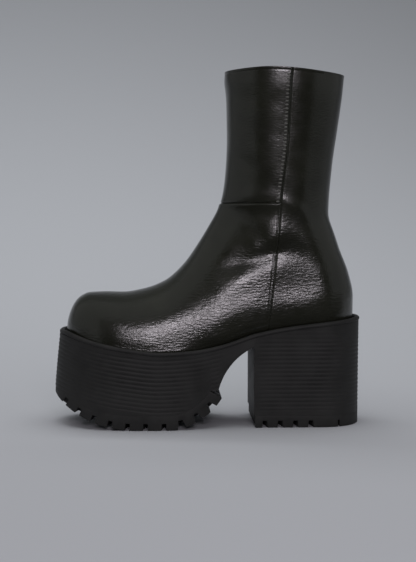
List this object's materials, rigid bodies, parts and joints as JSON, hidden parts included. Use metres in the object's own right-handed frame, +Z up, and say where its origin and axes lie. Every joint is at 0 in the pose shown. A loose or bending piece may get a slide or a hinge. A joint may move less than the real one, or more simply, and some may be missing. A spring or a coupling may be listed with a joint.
{
  "type": "platform boot",
  "caption": "Left ankle boot with a smooth shaft over a rounded toe, on a high lugged platform with a block heel.",
  "frame": {"origin": "middle of the box round the boot, on the floor it stands on", "axes": "+Z up, toe towards -X, heel towards +X, outer side of the foot towards -Y"},
  "size_m": [0.274, 0.1, 0.3137],
  "materials": {
    "leather": "smooth black leather, semi-gloss, fine grain with soft creases at the ankle",
    "insole": "matt insole board with a thin leather sock",
    "platform_rubber": "moulded black sole, satin, fine horizontal ribs",
    "tread_rubber": "moulded black tread rubber, satin"
  },
  "bodies": {
    "root": {"upper": "leather", "insole": "insole", "platform": "platform_rubber", "outsole_forefoot": "tread_rubber", "heel_top_piece": "tread_rubber"}
  },
  "joints": []
}
